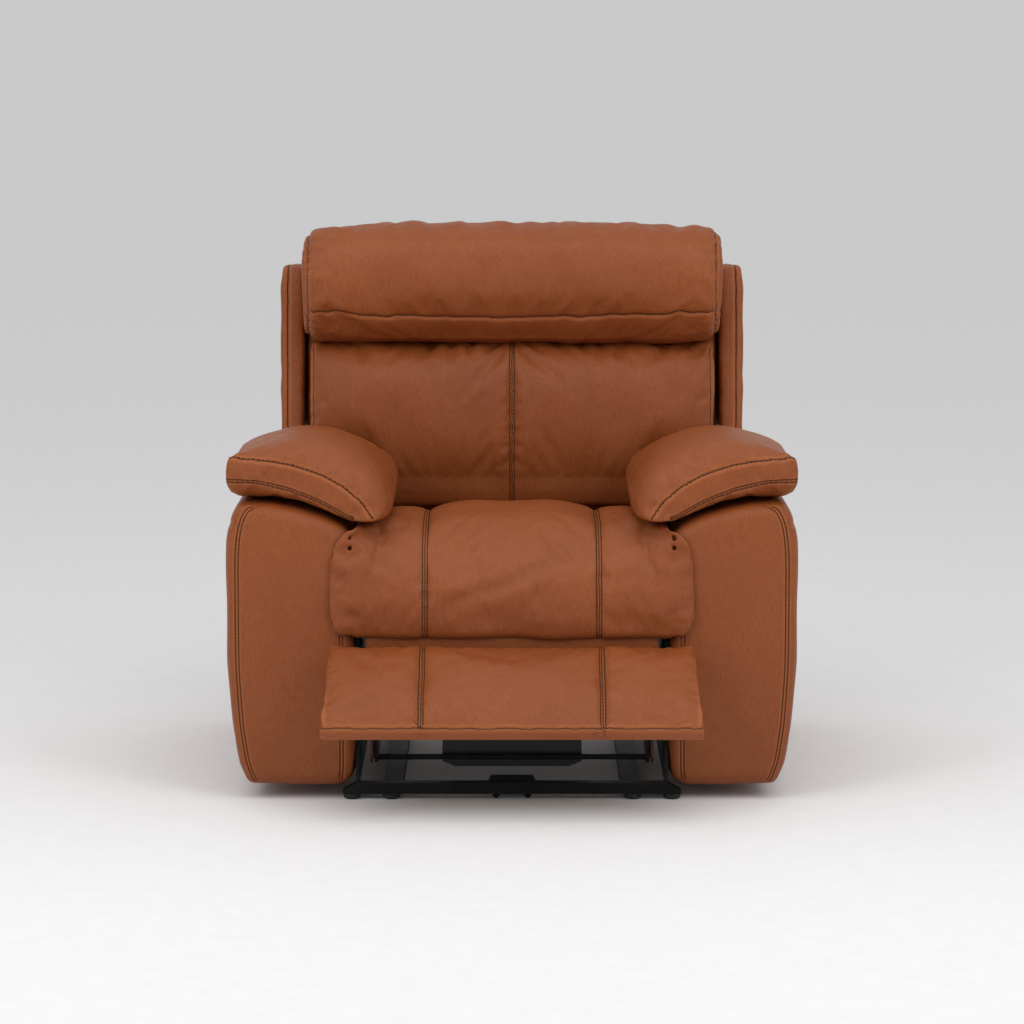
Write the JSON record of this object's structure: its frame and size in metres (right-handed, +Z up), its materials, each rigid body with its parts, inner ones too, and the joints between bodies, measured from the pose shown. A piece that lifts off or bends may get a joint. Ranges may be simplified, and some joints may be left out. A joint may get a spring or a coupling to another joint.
{
  "type": "recliner armchair",
  "caption": "Leather power recliner armchair with padded arms, T-shaped seat cushion, head pillow and a hinged footrest on a steel link mechanism.",
  "frame": {"origin": "on the floor, under the middle of the chair's overall box in the part-open pose", "axes": "+Z up, -Y the way the sitter faces, +X to the right as seen from the front"},
  "size_m": [1.02, 1.128, 1.0018],
  "materials": {
    "leather_upholstery": "semi-aniline leather with a light sheen",
    "black_steel": "satin black powder coat",
    "black_plastic": "moulded, fine texture",
    "switch_plastic": "satin moulded",
    "timber": "raw plywood and hardwood",
    "zinc_steel": "zinc plated"
  },
  "bodies": {
    "base": {"front_base_bar": "black_steel", "rear_base_bar": "black_steel", "base_rail_left": "black_steel", "base_rail_right": "black_steel", "glide_front_outer_left": "black_plastic", "glide_front_outer_right": "black_plastic", "glide_front_inner_left": "black_plastic", "glide_front_inner_right": "black_plastic", "glide_rear_outer_left": "black_plastic", "glide_rear_outer_right": "black_plastic", "front_bar_tab": "black_steel", "tab_bolt_left": "black_steel", "tab_bolt_right": "black_steel", "side_upright_left": "black_steel", "side_upright_right": "black_steel", "rear_cross_tube": "black_steel", "recline_motor": "black_plastic", "arm_body_left": "leather_upholstery", "arm_body_right": "leather_upholstery", "arm_pad_left": "leather_upholstery", "arm_pad_right": "leather_upholstery", "switch_panel": "switch_plastic"},
    "button_open": {"button_open": "switch_plastic"},
    "button_close": {"button_close": "switch_plastic"},
    "seat": {"seat_plate_left": "black_steel", "seat_plate_right": "black_steel", "guide_stud_front_left": "black_plastic", "guide_stud_front_right": "black_plastic", "guide_stud_rear_left": "black_plastic", "guide_stud_rear_right": "black_plastic", "seat_front_rail": "timber", "seat_rear_rail": "timber", "seat_cross_tube": "black_steel", "seat_springs": "zinc_steel", "seat_cushion": "leather_upholstery", "footrest_drive": "black_plastic", "recline_rod": "zinc_steel"},
    "front_links": {"front_swing_link_left": "leather_upholstery", "front_swing_link_right": "leather_upholstery", "front_torque_tube": "black_steel"},
    "rear_links": {"rear_swing_link_left": "leather_upholstery", "rear_swing_link_right": "leather_upholstery"},
    "carrier": {"footrest_carrier_left": "black_steel", "footrest_carrier_right": "black_steel", "footrest_cross_rod": "black_steel"},
    "footrest": {"footrest_bracket_left": "black_steel", "footrest_bracket_right": "black_steel", "footrest_board": "timber", "footrest_pad": "leather_upholstery"},
    "drive_nut": {"drive_nut": "black_plastic"},
    "back": {"back_bracket_left": "black_steel", "back_bracket_right": "black_steel", "back_frame": "timber", "back_shell": "leather_upholstery", "back_wing_left": "leather_upholstery", "back_wing_right": "leather_upholstery", "lower_back_cushion": "leather_upholstery", "head_pillow": "leather_upholstery"}
  },
  "joints": [
    {"name": "back_recline", "type": "hinge", "parent": "seat", "child": "back", "pos_m": [0, 0.4082, 0.43], "axis": [-1, 0, 0], "range_deg": [0, 32]},
    {"name": "seat_slide", "type": "slide", "parent": "base", "child": "seat", "axis": [0, -1, 0], "range_m": [0, 0.081]},
    {"name": "footrest_lift", "type": "hinge", "parent": "seat", "child": "front_links", "pos_m": [0, -0.2918, 0.272], "axis": [-1, 0, 0], "range_deg": [0, 65]},
    {"name": "rear_link_swing", "type": "hinge", "parent": "seat", "child": "rear_links", "pos_m": [0, -0.2018, 0.272], "axis": [-1, 0, 0], "range_deg": [0, 66]},
    {"name": "carrier_level", "type": "hinge", "parent": "front_links", "child": "carrier", "pos_m": [0, -0.2918, 0.072], "axis": [-1, 0, 0], "range_deg": [-66, 0]},
    {"name": "footrest_tilt", "type": "hinge", "parent": "carrier", "child": "footrest", "pos_m": [0, -0.3458, 0.2476], "axis": [-1, 0, 0], "range_deg": [-60, 30]},
    {"name": "drive_nut_run", "type": "slide", "parent": "seat", "child": "drive_nut", "axis": [0, -1, 0], "range_m": [0, 0.078]},
    {"name": "button_open_press", "type": "slide", "parent": "base", "child": "button_open", "axis": [-1, 0, 0], "range_m": [0, 0.0014], "stiffness_N_per_m": 900},
    {"name": "button_close_press", "type": "slide", "parent": "base", "child": "button_close", "axis": [-1, 0, 0], "range_m": [0, 0.0014], "stiffness_N_per_m": 900}
  ],
  "couplings": [
    {"joint": "seat_slide", "follows": "back_recline", "m_per_rad": 0.14324},
    {"joint": "rear_link_swing", "follows": "footrest_lift", "ratio": 1},
    {"joint": "carrier_level", "follows": "footrest_lift", "ratio": -1},
    {"joint": "drive_nut_run", "follows": "footrest_lift", "m_per_rad": 0.067387}
  ]
}
